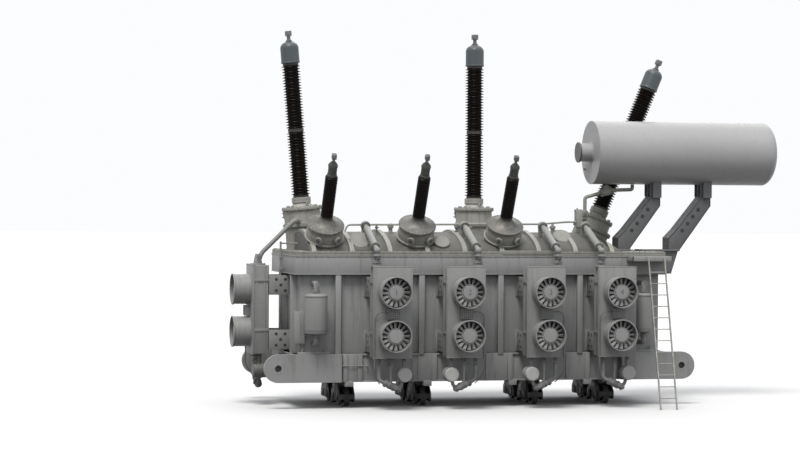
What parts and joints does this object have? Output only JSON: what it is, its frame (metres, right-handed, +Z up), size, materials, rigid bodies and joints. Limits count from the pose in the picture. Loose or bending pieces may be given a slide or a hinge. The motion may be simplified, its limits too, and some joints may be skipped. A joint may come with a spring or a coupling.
{
  "type": "power transformer",
  "caption": "Oil-filled power transformer with arched cover, tall and short bushings, fan coolers, oil conservator and bogies.",
  "frame": {"origin": "middle of the whole machine's outline, on the ground under the wheels", "axes": "+X along the tank towards the conservator, +Y from the cooler side to the back, +Z up"},
  "size_m": [15.19, 5.2856, 10.0806],
  "materials": {
    "tank_paint": "mid grey paint with dirt and rust streaks",
    "cover_paint": "light grey paint, dusty and stained",
    "cooler_paint": "light grey paint",
    "conservator_paint": "light grey paint, slightly glossy",
    "strut_paint": "dark blue-grey paint",
    "porcelain": "glazed dark brown porcelain",
    "cap_paint": "pale blue-grey paint",
    "galvanised": "weathered galvanised steel",
    "bogie_steel": "black, rough and greasy"
  },
  "bodies": {
    "transformer": {"tank_body": "tank_paint", "tank_cover": "cover_paint", "bogie_1_front": "bogie_steel", "bogie_1_back": "bogie_steel", "bogie_2_front": "bogie_steel", "bogie_2_back": "bogie_steel", "bogie_3_front": "bogie_steel", "bogie_3_back": "bogie_steel", "bogie_4_front": "bogie_steel", "bogie_4_back": "bogie_steel", "hv_turret_1": "cover_paint", "hv_bushing_1": "porcelain", "hv_cap_1": "cap_paint", "hv_turret_2": "cover_paint", "hv_bushing_2": "porcelain", "hv_cap_2": "cap_paint", "hv_turret_3": "cover_paint", "hv_bushing_3": "porcelain", "hv_cap_3": "cap_paint", "mv_turret_1": "galvanised", "mv_bushing_1": "porcelain", "mv_turret_2": "galvanised", "mv_bushing_2": "porcelain", "mv_turret_3": "galvanised", "mv_bushing_3": "porcelain", "cooler_casing_1": "cooler_paint", "cooler_pump_1": "cooler_paint", "cooler_riser_1": "cooler_paint", "cooler_casing_2": "cooler_paint", "cooler_pump_2": "cooler_paint", "cooler_riser_2": "cooler_paint", "cooler_casing_3": "cooler_paint", "cooler_pump_3": "cooler_paint", "cooler_riser_3": "cooler_paint", "cooler_casing_4": "cooler_paint", "cooler_pump_4": "cooler_paint", "cooler_riser_4": "cooler_paint", "cooler_casing_5": "cooler_paint", "cooler_pump_5": "cooler_paint", "cooler_riser_5": "cooler_paint", "conservator_shell": "conservator_paint", "conservator_left_end": "conservator_paint", "conservator_right_end": "conservator_paint", "conservator_strut_1": "strut_paint", "conservator_strut_2": "strut_paint", "conservator_pipe": "cover_paint", "filter_vessel_1": "cooler_paint", "filter_vessel_2": "cooler_paint", "landing": "tank_paint", "access_ladder": "tank_paint"},
    "fan_1_upper": {"fan_1_upper": "cooler_paint"},
    "fan_1_lower": {"fan_1_lower": "cooler_paint"},
    "fan_2_upper": {"fan_2_upper": "cooler_paint"},
    "fan_2_lower": {"fan_2_lower": "cooler_paint"},
    "fan_3_upper": {"fan_3_upper": "cooler_paint"},
    "fan_3_lower": {"fan_3_lower": "cooler_paint"},
    "fan_4_upper": {"fan_4_upper": "cooler_paint"},
    "fan_4_lower": {"fan_4_lower": "cooler_paint"},
    "fan_5_upper": {"fan_5_upper": "cooler_paint"},
    "fan_5_lower": {"fan_5_lower": "cooler_paint"}
  },
  "joints": [
    {"name": "fan_1_upper_spin", "type": "hinge", "parent": "transformer", "child": "fan_1_upper", "pos_m": [-3.715, -2.1975, 3.09], "axis": [0, -1, 0], "continuous": true},
    {"name": "fan_1_lower_spin", "type": "hinge", "parent": "transformer", "child": "fan_1_lower", "pos_m": [-3.715, -2.1975, 1.96], "axis": [0, -1, 0], "continuous": true},
    {"name": "fan_2_upper_spin", "type": "hinge", "parent": "transformer", "child": "fan_2_upper", "pos_m": [-1.755, -2.1975, 3.09], "axis": [0, -1, 0], "continuous": true},
    {"name": "fan_2_lower_spin", "type": "hinge", "parent": "transformer", "child": "fan_2_lower", "pos_m": [-1.755, -2.1975, 1.96], "axis": [0, -1, 0], "continuous": true},
    {"name": "fan_3_upper_spin", "type": "hinge", "parent": "transformer", "child": "fan_3_upper", "pos_m": [0.425, -2.1975, 3.09], "axis": [0, -1, 0], "continuous": true},
    {"name": "fan_3_lower_spin", "type": "hinge", "parent": "transformer", "child": "fan_3_lower", "pos_m": [0.425, -2.1975, 1.96], "axis": [0, -1, 0], "continuous": true},
    {"name": "fan_4_upper_spin", "type": "hinge", "parent": "transformer", "child": "fan_4_upper", "pos_m": [2.385, -2.1975, 3.09], "axis": [0, -1, 0], "continuous": true},
    {"name": "fan_4_lower_spin", "type": "hinge", "parent": "transformer", "child": "fan_4_lower", "pos_m": [2.385, -2.1975, 1.96], "axis": [0, -1, 0], "continuous": true},
    {"name": "fan_5_upper_spin", "type": "hinge", "parent": "transformer", "child": "fan_5_upper", "pos_m": [-7.3253, 0.7828, 3.09], "axis": [-1, 0, 0], "continuous": true},
    {"name": "fan_5_lower_spin", "type": "hinge", "parent": "transformer", "child": "fan_5_lower", "pos_m": [-7.3253, 0.7828, 1.96], "axis": [-1, 0, 0], "continuous": true}
  ]
}
